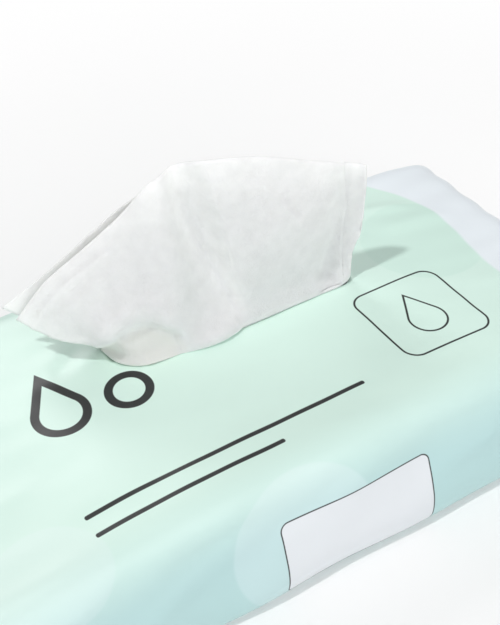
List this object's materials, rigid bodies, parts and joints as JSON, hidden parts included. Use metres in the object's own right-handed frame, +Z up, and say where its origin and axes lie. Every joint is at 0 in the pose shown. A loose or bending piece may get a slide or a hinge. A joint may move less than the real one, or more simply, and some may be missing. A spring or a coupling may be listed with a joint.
{
  "type": "wet wipes pack",
  "caption": "Soft film flow pack of wet wipes with crimped saw-cut ends, a die-cut top opening, a folded stack inside and one wipe drawn up through the opening.",
  "frame": {"origin": "middle of the flat base", "axes": "+Z up, X along the pack from crimp to crimp, front at -Y"},
  "size_m": [0.212, 0.1006, 0.0852],
  "materials": {
    "printed_film": "satin printed film",
    "nonwoven": "matte nonwoven cloth"
  },
  "bodies": {
    "root": {"film_pouch": "printed_film", "drawn_wipe": "nonwoven", "wipe_01": "nonwoven", "wipe_02": "nonwoven", "wipe_03": "nonwoven", "wipe_04": "nonwoven", "wipe_05": "nonwoven", "wipe_06": "nonwoven", "wipe_07": "nonwoven", "wipe_08": "nonwoven", "wipe_09": "nonwoven", "wipe_10": "nonwoven", "wipe_11": "nonwoven", "wipe_12": "nonwoven", "wipe_13": "nonwoven", "wipe_14": "nonwoven", "wipe_15": "nonwoven", "wipe_16": "nonwoven", "wipe_17": "nonwoven", "wipe_18": "nonwoven", "wipe_19": "nonwoven", "wipe_20": "nonwoven", "wipe_21": "nonwoven", "wipe_22": "nonwoven", "wipe_23": "nonwoven", "wipe_24": "nonwoven"}
  },
  "joints": []
}
